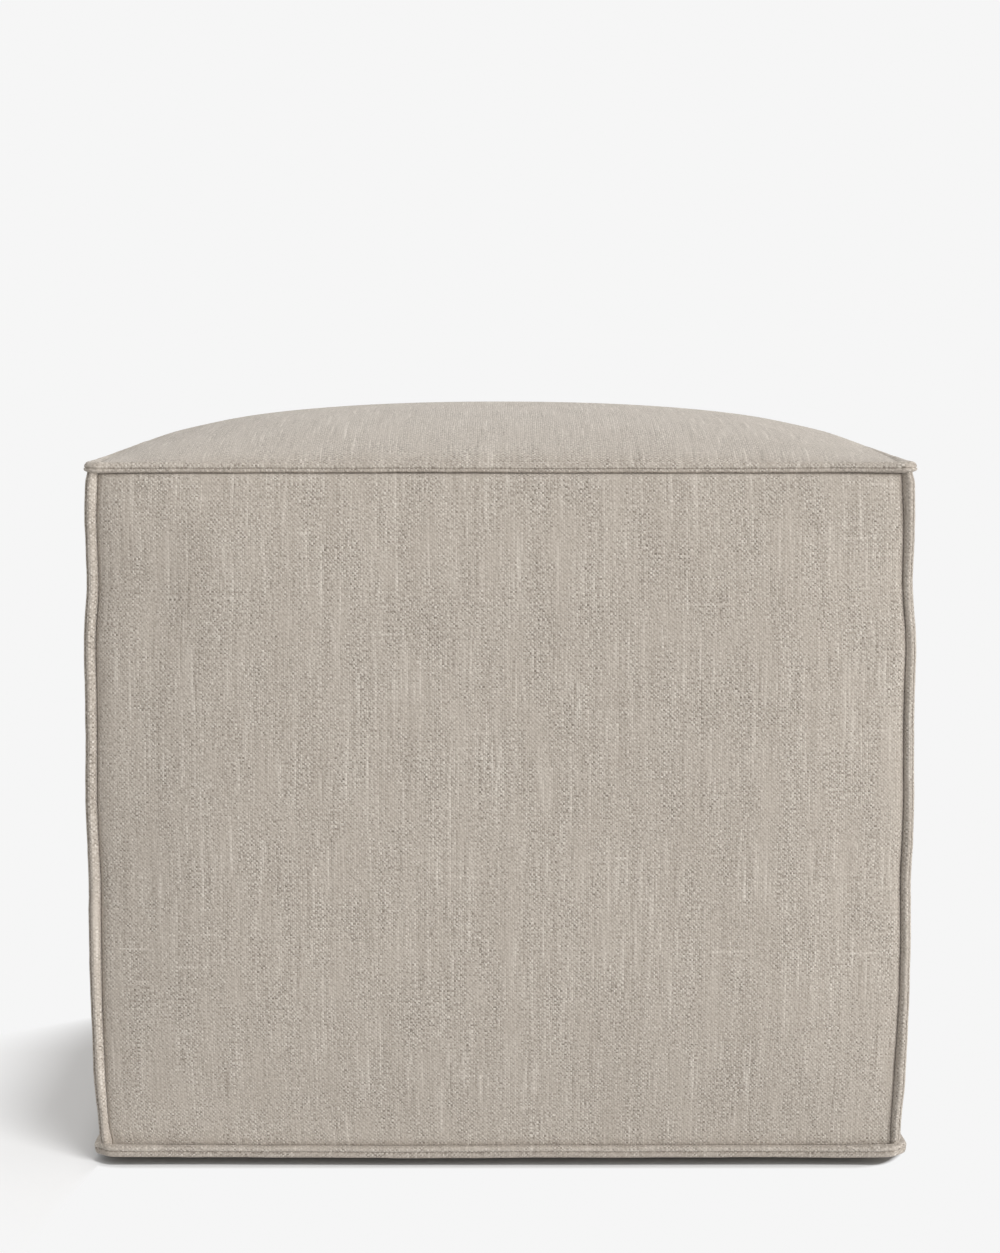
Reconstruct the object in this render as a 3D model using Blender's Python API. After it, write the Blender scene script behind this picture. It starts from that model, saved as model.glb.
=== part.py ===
# A cube pouf stool: a filled cube of woven cloth, with a narrow sewn flange standing out from every edge.
#
# Metres, +Z up, front towards -Y. The origin is on the floor, under the middle of the base.

import math

import bmesh
import bpy
from mathutils import Vector

# Driving dimensions.
WIDTH = 0.508  # over the tips of the flanges, along X and along Y
TOP_SEAM_HEIGHT = 0.4370  # tip of the top seam's flange, over the floor
BASE_SEAM_HEIGHT = 0.0086  # tip of the base seam's flange, over the floor
TOP_CROWN = 0.0325  # how far the top panel rises over its seam
TOP_SHAPE = (2.17, 0.585)  # power and fullness of that crown: how broad it is and how steep at its seam
SIDE_CROWN = 0.0100  # how far the middle of a side panel stands out
SIDE_SHAPE = (2.2, 0.5)
SEAM_BOW = 0.0020  # how far the middle of a top or base seam stands out from a straight line

FLANGE_REACH = 0.0065  # root to tip of a flange
FLANGE_HALF = 0.0029  # half the thickness of a flange at its fullest
ROOT_HALF = 0.0018  # half the thickness of a flange at its stitch line
TIP_GROOVE = 0.0006  # depth of the join line along the tip
TOP_TILT = math.radians(12)  # the top flange points a little up
BASE_TILT = math.radians(-8)  # the base flange points a little down

CORNER_RADIUS = 0.0040  # of the top and base seams, in plan, at their roots
BASE_ROUNDING = 0.022  # how far in from its seam the base panel meets the floor
CORNER_BOW = 0.0054  # how far the vertical edges stand out of line at mid height
BASE_PINCH = (0.0046, 0.030, 0.035)  # how far a base corner draws a vertical edge in, where and how widely
TOP_PINCH = (0.0030, 0.430, 0.040)  # the same at a top corner
END_TUCK = 0.28  # share of a corner flange's reach that is lost where it is caught under a ring
TUCK_LENGTH = 0.006  # how far along a corner flange that shows
GAP = 0.0003  # between neighbouring pieces

# How finely the shapes are cut.
SIDE_SEGMENTS = 10  # along each side of the cube
WALL_SEGMENTS = 12  # up each side
TOP_RINGS = 10  # from the top seam to the middle of the crown
BASE_RINGS = 4  # from the base seam to the flat of the base
BODY_CORNER_SEGMENTS = 3  # round each vertical edge of the cube
FLANGE_CORNER_SEGMENTS = 6  # round each corner of a ring flange

CLOTH_COLOUR = (0.474, 0.423, 0.367, 1.0)
CLOTH_ROUGHNESS = 0.9
SMOOTH_ANGLE = math.radians(45)  # edges sharper than this stay sharp

# The seams' root lines, worked out from the tips.
HALF = WIDTH / 2 - FLANGE_REACH - GAP  # middle of the cube to the root line of a seam
TOP_ROOT = TOP_SEAM_HEIGHT - FLANGE_REACH * math.sin(TOP_TILT)
BASE_ROOT = BASE_SEAM_HEIGHT - FLANGE_REACH * math.sin(BASE_TILT)
CHAMFER_LEG = ROOT_HALF * math.sqrt(2)  # of the flat that a corner flange is sewn to
FLANGE_END = FLANGE_HALF - 0.0001  # a corner flange stops this far from the root lines of the rings


def clear_scene():
    for obj in list(bpy.data.objects):
        bpy.data.objects.remove(obj, do_unlink=True)


def cloth_material(name):
    material = bpy.data.materials.new(name)
    material.use_nodes = True
    shader = material.node_tree.nodes["Principled BSDF"]
    shader.inputs["Base Color"].default_value = CLOTH_COLOUR
    shader.inputs["Roughness"].default_value = CLOTH_ROUGHNESS
    shader.inputs["Metallic"].default_value = 0.0
    return material


def add_piece(name, bm):
    bmesh.ops.recalc_face_normals(bm, faces=bm.faces)
    mesh = bpy.data.meshes.new(name)
    bm.to_mesh(mesh)
    bm.free()
    mesh.shade_smooth()
    mesh.set_sharp_from_angle(angle=SMOOTH_ANGLE)
    mesh.materials.append(cloth_material(name + "_cloth"))
    piece = bpy.data.objects.new(name, mesh)
    bpy.context.scene.collection.objects.link(piece)
    return piece


def crown(x, shape):
    """1 in the middle of a panel, falling to 0 at its seams, x = -1 and x = 1."""
    power, fullness = shape
    return max(0.0, 1.0 - abs(x) ** power) ** fullness


def bell(x):
    """1 at x = 0, falling smoothly to nothing a few steps to either side."""
    return math.exp(-x * x / 2)


def spread(count):
    """Places from -1 to 1, closer together towards the ends, where a filled panel curves most."""
    return [-math.cos(math.pi * i / count) for i in range(count + 1)]


def edge_shift(z):
    """How far a vertical edge, and the panels beside it, stand out at height z."""
    pinches = (depth * bell((z - height) / width) for depth, height, width in (BASE_PINCH, TOP_PINCH))
    return CORNER_BOW - sum(pinches)


def seam_point(root_z, tilt, along, across):
    """(distance out from the root line, height) of a place on the section of a ring flange."""
    out = along * math.cos(tilt) - across * math.sin(tilt)
    return out, root_z + along * math.sin(tilt) + across * math.cos(tilt)


def turned(x, y, side):
    """A point of the front side (-Y) turned to side 0 front, 1 right, 2 back, 3 left."""
    for _ in range(side):
        x, y = -y, x
    return x, y


def seam_loop(out, corner_segments):
    """Plan of a seam's root line, moved out by a distance: (x, y, a, b), where a, b is its place on a unit square."""
    radius = CORNER_RADIUS + out
    reach = HALF - CORNER_RADIUS
    loop = []
    for side in range(4):
        for s in spread(SIDE_SEGMENTS):
            x, y = turned(s * reach, -(HALF + out + SEAM_BOW * (1 - s * s)), side)
            loop.append((x, y, *turned(s, -1.0, side)))
        for k in range(1, corner_segments):
            angle = math.pi / 2 * k / corner_segments
            x, y = turned(reach + radius * math.sin(angle), -(reach + radius * math.cos(angle)), side)
            loop.append((x, y, *turned(1.0, -1.0, side)))
    return loop


def wall_loop(z, lowest, highest):
    """Plan of the cube's sides at height z, with the flats that the corner flanges are sewn to."""
    middle = (lowest + highest) / 2
    rise = crown((z - middle) / (highest - middle), SIDE_SHAPE)
    half = HALF + edge_shift(z)
    reach = half - CORNER_RADIUS
    loop = []
    for side in range(4):
        for s in spread(SIDE_SEGMENTS):
            out = SEAM_BOW * (1 - s * s) + SIDE_CROWN * rise * crown(s, SIDE_SHAPE)
            loop.append((*turned(s * reach, -(half + out), side), z))
        loop.append((*turned(half - CHAMFER_LEG, -half, side), z))
        loop.append((*turned(half, -(half - CHAMFER_LEG), side), z))
    return loop


def wall_heights():
    """Heights of the loops that have a corner flange beside them."""
    low = BASE_ROOT + FLANGE_END
    high = TOP_ROOT - FLANGE_END
    return [low + (high - low) * (1 + t) / 2 for t in spread(WALL_SEGMENTS)]


def bridge(bm, lower, upper):
    """A band of faces between two closed loops of as many points."""
    count = len(lower)
    for i in range(count):
        j = (i + 1) % count
        bm.faces.new((lower[i], lower[j], upper[j], upper[i]))


def build_filled_cube():
    """The six panels, sewn shut round their filling."""
    bm = bmesh.new()
    base_low = seam_point(BASE_ROOT, BASE_TILT, 0, -ROOT_HALF)
    base_high = seam_point(BASE_ROOT, BASE_TILT, 0, ROOT_HALF)
    top_low = seam_point(TOP_ROOT, TOP_TILT, 0, -ROOT_HALF)
    top_high = seam_point(TOP_ROOT, TOP_TILT, 0, ROOT_HALF)

    def seam_row(out, z):
        return [(x, y, z) for x, y, _, _ in seam_loop(out, BODY_CORNER_SEGMENTS)]

    rows = []
    # The base panel comes down from its seam in a quarter of an ellipse and lies flat on the floor.
    for step in range(BASE_RINGS, 0, -1):
        angle = math.pi / 2 * step / BASE_RINGS
        inward = BASE_ROUNDING * (1 - math.cos(angle))
        z = base_low[1] * (1 - math.sin(angle))
        scale = 1 - inward / HALF
        rows.append([(x * scale, y * scale, z) for x, y, _ in seam_row(*base_low)])
    rows.append(seam_row(*base_low))
    rows.append(seam_row(*base_high))
    rows += [wall_loop(z, base_high[1], top_low[1]) for z in wall_heights()]
    rows.append(seam_row(*top_low))
    rows.append(seam_row(*top_high))
    # The top panel rises steeply from its seam to a broad crown.
    for ring in range(1, TOP_RINGS):
        scale = math.cos(math.pi / 2 * ring / TOP_RINGS)
        row = []
        for x, y, a, b in seam_loop(top_high[0], BODY_CORNER_SEGMENTS):
            lift = TOP_CROWN * crown(a * scale, TOP_SHAPE) * crown(b * scale, TOP_SHAPE)
            row.append((x * scale, y * scale, top_high[1] + lift))
        rows.append(row)

    loops = [[bm.verts.new(Vector(point)) for point in row] for row in rows]
    for lower, upper in zip(loops, loops[1:]):
        bridge(bm, lower, upper)
    bm.faces.new(list(reversed(loops[0])))
    middle = bm.verts.new((0.0, 0.0, top_high[1] + TOP_CROWN))
    last = loops[-1]
    for i, vert in enumerate(last):
        bm.faces.new((vert, last[(i + 1) % len(last)], middle))
    return add_piece("filled_cube", bm)


def flange_section():
    """Section of a flange: (along from the root, across), from the lower root corner round to the upper one."""
    half = [
        (0.0, ROOT_HALF - GAP),
        (0.30 * FLANGE_REACH, 0.92 * FLANGE_HALF),
        (0.62 * FLANGE_REACH, FLANGE_HALF),
        (0.90 * FLANGE_REACH, 0.74 * FLANGE_HALF),
        (FLANGE_REACH, 0.30 * FLANGE_HALF),
    ]
    lower = [(along, -across) for along, across in half]
    return lower + [(FLANGE_REACH - TIP_GROOVE, 0.0)] + half[::-1]


def build_ring_flange(name, root_z, tilt):
    """The flange round the top or the base panel, one closed ring."""
    bm = bmesh.new()
    rows = []
    for along, across in flange_section():
        out, z = seam_point(root_z, tilt, along + GAP, across)
        loop = seam_loop(out, FLANGE_CORNER_SEGMENTS)
        rows.append([bm.verts.new((x, y, z)) for x, y, _, _ in loop])
    for i, row in enumerate(rows):
        bridge(bm, row, rows[(i + 1) % len(rows)])
    return add_piece(name, bm)


def build_corner_flange(name, side):
    """The flange up one vertical edge, caught between the two rings."""
    bm = bmesh.new()
    diagonal = math.sqrt(0.5)
    heights = wall_heights()
    rows = []
    for z in heights:
        root = HALF + edge_shift(z) - CHAMFER_LEG / 2
        tuck = 1 - END_TUCK * bell(min(z - heights[0], heights[-1] - z) / TUCK_LENGTH)
        row = []
        for along, across in flange_section():
            out = root + (along * tuck + GAP) * diagonal
            x, y = turned(out + across * diagonal, -(out - across * diagonal), side)
            row.append(bm.verts.new((x, y, z)))
        rows.append(row)
    for lower, upper in zip(rows, rows[1:]):
        bridge(bm, lower, upper)
    bm.faces.new(list(reversed(rows[0])))
    bm.faces.new(rows[-1])
    return add_piece(name, bm)


def main():
    clear_scene()
    build_filled_cube()
    build_ring_flange("top_seam_flange", TOP_ROOT, TOP_TILT)
    build_ring_flange("base_seam_flange", BASE_ROOT, BASE_TILT)
    for side in range(4):
        build_corner_flange(f"corner_seam_flange_{side + 1}", side)


main()
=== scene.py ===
import math

import bmesh
import bpy
import numpy as np
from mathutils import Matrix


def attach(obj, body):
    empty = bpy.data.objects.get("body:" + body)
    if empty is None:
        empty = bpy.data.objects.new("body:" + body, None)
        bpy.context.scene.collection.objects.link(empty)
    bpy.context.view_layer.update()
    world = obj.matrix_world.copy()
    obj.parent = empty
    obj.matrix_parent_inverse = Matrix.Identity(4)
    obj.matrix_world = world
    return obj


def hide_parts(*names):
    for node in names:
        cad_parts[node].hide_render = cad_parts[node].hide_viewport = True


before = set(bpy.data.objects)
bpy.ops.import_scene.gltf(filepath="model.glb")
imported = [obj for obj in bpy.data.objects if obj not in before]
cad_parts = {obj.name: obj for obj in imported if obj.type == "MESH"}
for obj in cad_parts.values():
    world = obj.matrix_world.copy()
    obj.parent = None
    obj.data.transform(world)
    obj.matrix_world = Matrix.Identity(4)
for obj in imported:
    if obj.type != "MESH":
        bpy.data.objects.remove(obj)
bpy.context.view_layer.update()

scene = bpy.context.scene

# The cover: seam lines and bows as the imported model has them, and how full the panels are.
cover = {
    "halfWidth": 0.2472,  # middle to the root line of a seam
    "topRoot": 0.435649,  # height of the top seam's root line
    "baseRoot": 0.009505,
    "topTilt": math.radians(12),
    "baseTilt": math.radians(-8),
    "cornerRadius": 0.004,
    "seamBow": 0.002,
    "rootHalf": 0.0018,  # half a flange's thickness at its stitch line
    "baseOver": 0.0009,  # the same for the base flange's upper layer
    "gap": 0.0003,  # between a flange and the panels beside it
    "sideCrown": 0.0070,
    "sideShape": (2.2, 0.5),
    "upperShape": (3.0, 0.3),  # of a side's upper half, from the middle up
    # how full the sides are beside their seams: what share of it comes within what length
    "fullness": 0.0045,
    "besideSides": ((0.35, 0.0014), (0.65, 0.0140)),
    "underTop": ((0.75, 0.0009),),
    "overBase": ((0.2, 0.0030), (0.8, 0.0400)),
    # how much of a side's bow is lost at its base and top seams, and within what length
    "baseFold": ((0.80, 0.0026),),
    "topFold": ((0.62, 0.0014),),
    "topLayer": 0.0042,  # the cloth folds over the top seam this far above its root line
    "top": 0.4684,  # height of the crown before the filling settles it
    "topShape": (2.17, 0.640),
    "baseRounding": 0.022,
    "cornerBow": 0.0048,
    "pinches": ((0.0046, 0.030, 0.035), (0.0030, 0.430, 0.040)),  # depth, height, spread
    "waverShape": 6,  # power by which a seam's waver dies out across a side
    "cornerPull": (0.0024, 24),  # how far a level panel's corners are drawn in, and how sharply
}
cover["flat"] = cover["rootHalf"] * math.sqrt(2)  # leg of the flat under a corner flange

# Small draws and swells of the vertical seams: depth, height and spread of each.
wavers = {
    "front": ((-0.00095, 0.3630, 0.0130), (0.0008, 0.4080, 0.0120), (0.0006, 0.3280, 0.0150),
              (0.0005, 0.2320, 0.0160), (-0.0006, 0.1810, 0.0140), (0.0014, 0.0440, 0.0200)),
    "back": ((-0.0011, 0.3300, 0.0150), (0.0006, 0.3750, 0.0130), (-0.0007, 0.2100, 0.0170),
             (0.0007, 0.1500, 0.0150), (-0.0005, 0.0900, 0.0130), (0.0013, 0.0420, 0.0200)),
    # what the front left flange has drawn out of the panels beside it
    "leftPull": ((0.0011, 0.3500, 0.0450), (0.0008, 0.2150, 0.0800), (0.0009, 0.1350, 0.0350),
                 (0.0022, 0.0100, 0.0065)),
}


def crown(x, shape):
    power, fullness = shape
    return np.clip(1 - np.abs(x) ** power, 0, None) ** fullness


def bell(x):
    return np.exp(-x * x / 2)


def shoulder(away, parts):
    # 0 at a seam, and 1 well away from it
    return 1 - sum(share * np.exp(-away / length) for share, length in parts)


def bells(z, parts):
    return sum(depth * bell((z - height) / spread) for depth, height, spread in parts)


def edgeShift(z):
    return cover["cornerBow"] - bells(z, cover["pinches"])


def edgeWaver(z, corner):
    # corner 0 is front right, then anticlockwise seen from above
    return bells(z, wavers["front" if corner in (0, 3) else "back"])


def edgePull(z, corner):
    return bells(z, wavers["leftPull"]) if corner == 3 else 0 * z


def seamPoint(rootZ, tilt, along, across):
    # how far out and how high a place lies that is so far along a flange and above its middle
    out = along * math.cos(tilt) - across * math.sin(tilt)
    return out, rootZ + along * math.sin(tilt) + across * math.cos(tilt)


def turned(x, y, side):
    # quarter turns, anticlockwise seen from above
    for _ in range(side % 4):
        x, y = -y, x
    return x, y


def steps(count, even=0.12):
    # places from -1 to 1, closer together near the seams
    t = np.linspace(0, 1, count + 1)
    return even * (2 * t - 1) - (1 - even) * np.cos(math.pi * t)


baseLow = seamPoint(cover["baseRoot"], cover["baseTilt"], 0, -cover["rootHalf"])
baseHigh = seamPoint(cover["baseRoot"], cover["baseTilt"], 0, cover["baseOver"])
topLow = seamPoint(cover["topRoot"], cover["topTilt"], 0, -cover["rootHalf"])
topHigh = seamPoint(cover["topRoot"], cover["topTilt"], 0, cover["topLayer"])

# The panels, and how their cloth settles.
panels = {
    "grid": 112,  # cells across a finished panel
    "simGrid": 44,  # cells across a panel while the cloth settles
    "cloth": 0.0012,  # thickness of the cloth
    # how a panel's edge turns in at its seam: sideways, inwards
    "rim": ((0.0003, 0.0007), (0.0005, 0.0018), (0.0006, 0.0034)),
    "inset": 0.0009,  # how much the inner face is drawn in at its edges
    "nearSeam": 0.006,  # how far the puckers beside a seam reach
    "pressure": 4.0,
    "frames": 20,
    "settling": {"quality": 6, "mass": 0.3, "tension_stiffness": 20, "compression_stiffness": 20,
                 "shear_stiffness": 12, "bending_stiffness": 0.6},
    # the furthest that the filling may move each panel
    "swell": (0.0028, 0.0028, 0.0028, 0.0028, 0.0010),
    "calm": 0.028,  # how far from a seam the cloth is still held by it
    "smoothing": 5,  # passes that ease sharp wrinkles out of the settled cloth
    "start": 0.94,  # share of the crowns that the cloth starts from
    # strips of the bake map: where each starts, and its width
    "bakeAcross": (0.004, 0.992),
    "bakeOuter": (0.004, 0.926),
    "bakeInner": (0.968, 0.028),
    "bakeEdge": (0.940, 0.018),
}


def sidePanel(a, b, side, full=1.0):
    # a runs across the panel and b up it, from -1 to 1
    z = baseHigh[1] + (topLow[1] - baseHigh[1]) * (b + 1) / 2
    shift = edgeShift(z)
    fade = shoulder(z - baseHigh[1], cover["baseFold"]) * shoulder(topLow[1] - z, cover["topFold"])
    left, right = (edgeWaver(z, corner) - edgePull(z, corner) for corner in ((side + 3) % 4, side))
    waver = np.where(a > 0, right, left)
    half = cover["halfWidth"] + shift + waver
    x = a * (half - cover["flat"])
    bow = shift + waver * np.abs(a) ** cover["waverShape"]
    out = cover["halfWidth"] + fade * bow + (1 - fade) * topLow[0] + cover["seamBow"] * (1 - a * a)
    rise = np.where(b > 0, crown(b, cover["upperShape"]), crown(b, cover["sideShape"]))
    out = out + full * cover["sideCrown"] * rise * crown(a, cover["sideShape"])
    swell = (shoulder((1 - np.abs(a)) * cover["halfWidth"], cover["besideSides"])
             * shoulder(topLow[1] - z, cover["underTop"]) * shoulder(z - baseHigh[1], cover["overBase"]))
    out = out + full * cover["fullness"] * swell
    x, y = turned(x, -out, side)
    return np.stack([x, y, z], -1)


def levelPanel(a, b, seam):
    # plan of the top or base panel
    half = cover["halfWidth"] + seam[0]
    pull, sharpness = cover["cornerPull"]
    corner = 1 - pull / half * (np.abs(a) * np.abs(b)) ** sharpness
    x = a * (half + cover["seamBow"] * (1 - b * b)) * corner
    y = b * (half + cover["seamBow"] * (1 - a * a)) * corner
    return x, y


def topPanel(a, b, full=1.0):
    x, y = levelPanel(a, b, topHigh)
    rise = full * (cover["top"] - topHigh[1]) * crown(a, cover["topShape"]) * crown(b, cover["topShape"])
    return np.stack([x, y, topHigh[1] + rise], -1)


def basePanel(a, b):
    x, y = levelPanel(a, b, baseLow)
    turn = 1 - cover["baseRounding"] / cover["halfWidth"]

    def rise(s):
        return np.sqrt(1 - np.clip((np.abs(s) - turn) / (1 - turn), 0, 1) ** 2)
    return np.stack([x, y, baseLow[1] * (1 - rise(a) * rise(b))], -1)


def sideShape(side):
    return lambda a, b, full=1.0: sidePanel(a, b, side, full)


# Each panel: name, its surface, which way is out, and where its middle is in the cloth's thread map.
panelList = [("frontPanel", sideShape(0), (0, -1, 0), (0.0, 0.0)),
             ("rightPanel", sideShape(1), (1, 0, 0), (1.31, 0.47)),
             ("backPanel", sideShape(2), (0, 1, 0), (2.63, 0.91)),
             ("leftPanel", sideShape(3), (-1, 0, 0), (3.97, 1.43)),
             ("topPanel", topPanel, (0, 0, 1), (0.0, 2.21)),
             ("basePanel", basePanel, (0, 0, -1), (1.7, 3.19))]
filledPanels = panelList[:-1]


def makeMesh(name, points, faces, edges=()):
    mesh = bpy.data.meshes.new(name)
    mesh.from_pydata(points, edges, faces)
    return mesh


def newObject(name, data):
    thing = bpy.data.objects.new(name, data)
    scene.collection.objects.link(thing)
    return thing


def gridFaces(rows, columns, first=0):
    i, j = np.meshgrid(np.arange(rows - 1), np.arange(columns - 1), indexing="ij")
    corner = first + i * columns + j
    return np.stack([corner, corner + 1, corner + columns + 1, corner + columns], -1).reshape(-1, 4)


def eased(move):
    # each place shares half of its move with its four neighbours
    for _ in range(panels["smoothing"]):
        wide = np.pad(move, ((1, 1), (1, 1), (0, 0)), "edge")
        move = (4 * move + wide[:-2, 1:-1] + wide[2:, 1:-1] + wide[1:-1, :-2] + wide[1:-1, 2:]) / 8
    return move


def settleCloth():
    # the filled panels as one piece of cloth, held at the seams and pressed out by the filling
    count = panels["simGrid"] + 1
    b, a = np.meshgrid(steps(count - 1), steps(count - 1), indexing="ij")
    starts = [shape(a, b, panels["start"]) for _, shape, _, _ in filledPanels]
    firsts = [k * count * count for k in range(len(filledPanels))]
    points = np.concatenate([start.reshape(-1, 3) for start in starts])
    faces = np.concatenate([gridFaces(count, count, first) for first in firsts])
    mesh = makeMesh("clothSettling", points.tolist(), faces.tolist())
    cloth = newObject("clothSettling", mesh)
    held = cloth.vertex_groups.new(name="seams")
    edge = np.zeros((count, count), bool)
    edge[[0, -1]] = edge[:, [0, -1]] = True
    held.add([int(first + i) for first in firsts for i in np.flatnonzero(edge)], 1.0, "REPLACE")
    settle = cloth.modifiers.new("settle", "CLOTH")
    for key, value in panels["settling"].items():
        setattr(settle.settings, key, value)
    settle.settings.vertex_group_mass = "seams"
    settle.settings.use_pressure = True
    settle.settings.uniform_pressure_force = panels["pressure"]
    settle.settings.effector_weights.gravity = 0
    settle.collision_settings.use_collision = False
    settle.point_cache.frame_end = panels["frames"]
    for f in range(1, panels["frames"] + 1):
        scene.frame_set(f)
    settled = cloth.evaluated_get(bpy.context.evaluated_depsgraph_get()).to_mesh()
    found = np.empty(len(points) * 3, np.float32)
    settled.vertices.foreach_get("co", found)
    scene.frame_set(1)
    bpy.data.objects.remove(cloth, do_unlink=True)
    bpy.data.meshes.remove(mesh)
    found = found.reshape(-1, count, count, 3).astype(float)
    moved = []
    reach = cover["halfWidth"] / panels["calm"]
    free = (1 - bell((1 - np.abs(a)) * reach)) * (1 - bell((1 - np.abs(b)) * reach))
    for k, (name, shape, _, _) in enumerate(filledPanels):
        move = eased(found[k] - shape(a, b))
        far = np.maximum(np.linalg.norm(move, axis=-1, keepdims=True), 1e-9)
        move *= free[..., None] * np.tanh(far / panels["swell"][k]) * panels["swell"][k] / far
        moved.append(move)
        print(name, "settled by", round(np.abs(found[k] - starts[k]).max() * 1000, 2), "mm")
    return moved


def finer(move, count):
    # the settled move on the finished panel's grid, by a cubic through each four neighbours
    coarse = move.shape[0]
    at = np.linspace(0, coarse - 1, count + 1)
    k = np.clip(at.astype(int), 0, coarse - 2)
    t = at - k
    weights = np.zeros((count + 1, coarse))
    parts = (-0.5 * t + t ** 2 - 0.5 * t ** 3, 1 - 2.5 * t ** 2 + 1.5 * t ** 3,
             0.5 * t + 2 * t ** 2 - 1.5 * t ** 3, -0.5 * t ** 2 + 0.5 * t ** 3)
    for step, part in zip((-1, 0, 1, 2), parts):
        np.add.at(weights, (np.arange(count + 1), np.clip(k + step, 0, coarse - 1)), part)
    return np.einsum("ia,jb,abc->ijc", weights, weights, move)


def between(stretch, share):
    # a place in a stretch given by its start and its length
    return stretch[0] + stretch[1] * share


def arcLength(line):
    return np.concatenate([[0], np.cumsum(np.linalg.norm(np.diff(line, axis=0), axis=1))])


# Each panel in the thread map: its middle, half its width, half its height and the heights up its middle.
threadLines = {}


def buildPanel(name, shape, facing, offset, move):
    count, rim = panels["grid"], len(panels["rim"])
    b, a = np.meshgrid(steps(count), steps(count), indexing="ij")
    middle = shape(a, b)
    if move is not None:
        middle = middle + finer(move, count)
    facing = np.array(facing, float)
    size = count + 1 + 2 * rim
    # rows and columns past the seam line turn in behind the flange
    outer = np.pad(middle, ((rim, rim), (rim, rim), (0, 0)), "edge")
    across = middle[0, -1] - middle[0, 0]
    up = middle[-1, 0] - middle[0, 0]
    across, up = across / np.linalg.norm(across), up / np.linalg.norm(up)
    depth = np.zeros(size)
    for k, (sideways, inwards) in enumerate(panels["rim"]):
        for at, sign in ((rim - 1 - k, -1), (size - rim + k, 1)):
            outer[at] += sign * sideways * up
            outer[:, at] += sign * sideways * across
            depth[at] = inwards
    outer -= np.maximum(depth[:, None], depth[None, :])[..., None] * facing
    inner = outer - facing * panels["cloth"]
    level = inner - outer.mean((0, 1))
    level -= (level @ facing)[..., None] * facing
    inner -= level * (panels["inset"] / np.abs(level).max())
    if name == "basePanel":
        outer[..., 2] = np.maximum(outer[..., 2], 0)
    # thread coordinates: arc lengths through the panel's middle, from its centre
    half = size // 2
    u, v = arcLength(outer[half]), arcLength(outer[:, half])
    u, v = u - u[half], v - v[half]
    threadLines[name] = (offset, u[size - 1 - rim], v[size - 1 - rim], v[rim:size - rim])
    points = np.concatenate([outer.reshape(-1, 3), inner.reshape(-1, 3)])
    total = size * size
    front = gridFaces(size, size)
    back = gridFaces(size, size, total)[:, ::-1]
    border = np.concatenate([np.arange(size), np.arange(1, size) * size + size - 1,
                             total - 2 - np.arange(size - 1), np.arange(size - 2, 0, -1) * size])
    onwards = np.roll(border, -1)
    walls = np.stack([onwards, border, border + total, onwards + total], -1)
    faces = np.concatenate([front, back, walls])
    loops = faces.reshape(-1)
    rows, columns = (loops % total) // size, loops % size
    threads = np.stack([u[columns] + offset[0], v[rows] + offset[1]], -1)
    # the bake map: the outer face nearly fills it, the inner face and the edge lie in a strip
    shareU, shareV = (u - u[0]) / (u[-1] - u[0]), (v - v[0]) / (v[-1] - v[0])
    run = np.arange(len(border)) / len(border)
    ahead = run + 1 / len(border)
    edge = np.stack([ahead, run, run, ahead], -1).reshape(-1)
    across = np.concatenate([shareU[columns[:-walls.size]], edge])
    outside, inside = shareV[rows[:front.size]], shareV[rows[front.size:-walls.size]]
    up = np.concatenate([between(panels["bakeOuter"], outside), between(panels["bakeInner"], inside),
                         between(panels["bakeEdge"], np.tile([0.0, 0.0, 1.0, 1.0], len(border)))])
    bake = np.stack([between(panels["bakeAcross"], across), up], -1)
    # how near each place is to a side seam and to a top or base seam
    near = np.zeros((size, size, 3))
    near[..., 0] = np.exp(-np.clip(u[-1] - np.abs(u), 0, None) / panels["nearSeam"])[None, :]
    near[..., 1] = np.exp(-np.clip(v[-1] - np.abs(v), 0, None) / panels["nearSeam"])[:, None]
    mesh = makeMesh(name, points.tolist(), faces.tolist())
    return addPiece(mesh, threads, bake, np.concatenate([near, near]))


def addPiece(mesh, threads, bake, near):
    for layer, values in (("threads", threads), ("OFBake", bake)):
        mesh.uv_layers.new(name=layer).data.foreach_set("uv", values.astype(np.float32).reshape(-1))
    nearSeam = mesh.attributes.new("nearSeam", "FLOAT_VECTOR", "POINT")
    nearSeam.data.foreach_set("vector", near.astype(np.float32).reshape(-1))
    outwards = bmesh.new()
    outwards.from_mesh(mesh)
    bmesh.ops.recalc_face_normals(outwards, faces=outwards.faces)
    outwards.to_mesh(mesh)
    outwards.free()
    mesh.shade_smooth()
    return newObject(mesh.name, mesh)


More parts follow.
